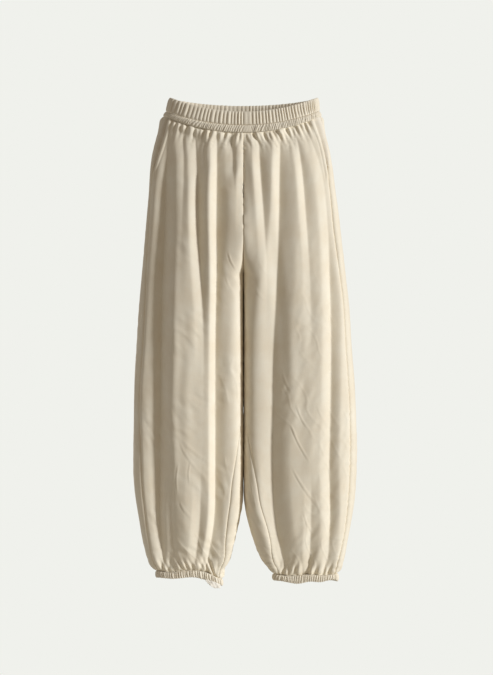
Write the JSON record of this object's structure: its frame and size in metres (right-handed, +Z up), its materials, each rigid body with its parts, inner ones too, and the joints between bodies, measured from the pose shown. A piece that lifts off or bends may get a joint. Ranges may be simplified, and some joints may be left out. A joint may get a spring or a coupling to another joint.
{
  "type": "balloon trousers with an elastic waist and elastic cuffs",
  "caption": "Full-length balloon trousers, hanging open: gathered elastic waistband, slant side pockets, deep soft folds and gathered elastic ankle cuffs.",
  "frame": {"origin": "middle of the waist opening, level with the waist's top edge at the centre front", "axes": "+Z up along the legs, front faces -Y, +X to an onlooker's right in front"},
  "size_m": [0.4459, 0.1438, 0.9802],
  "materials": {
    "shell_cloth": "soft washed twill with a slight sheen",
    "pocket_cloth": "soft washed twill",
    "waist_elastic": "gathered over elastic",
    "cuff_elastic": "gathered over elastic"
  },
  "bodies": {
    "root": {"front_left": "shell_cloth", "front_right": "shell_cloth", "back_left": "shell_cloth", "back_right": "shell_cloth", "pocket_facing_left": "pocket_cloth", "pocket_facing_right": "pocket_cloth", "waistband": "waist_elastic", "waist_strip": "waist_elastic", "cuff_left": "cuff_elastic", "cuff_right": "cuff_elastic", "cuff_allowance_left": "cuff_elastic"}
  },
  "joints": []
}
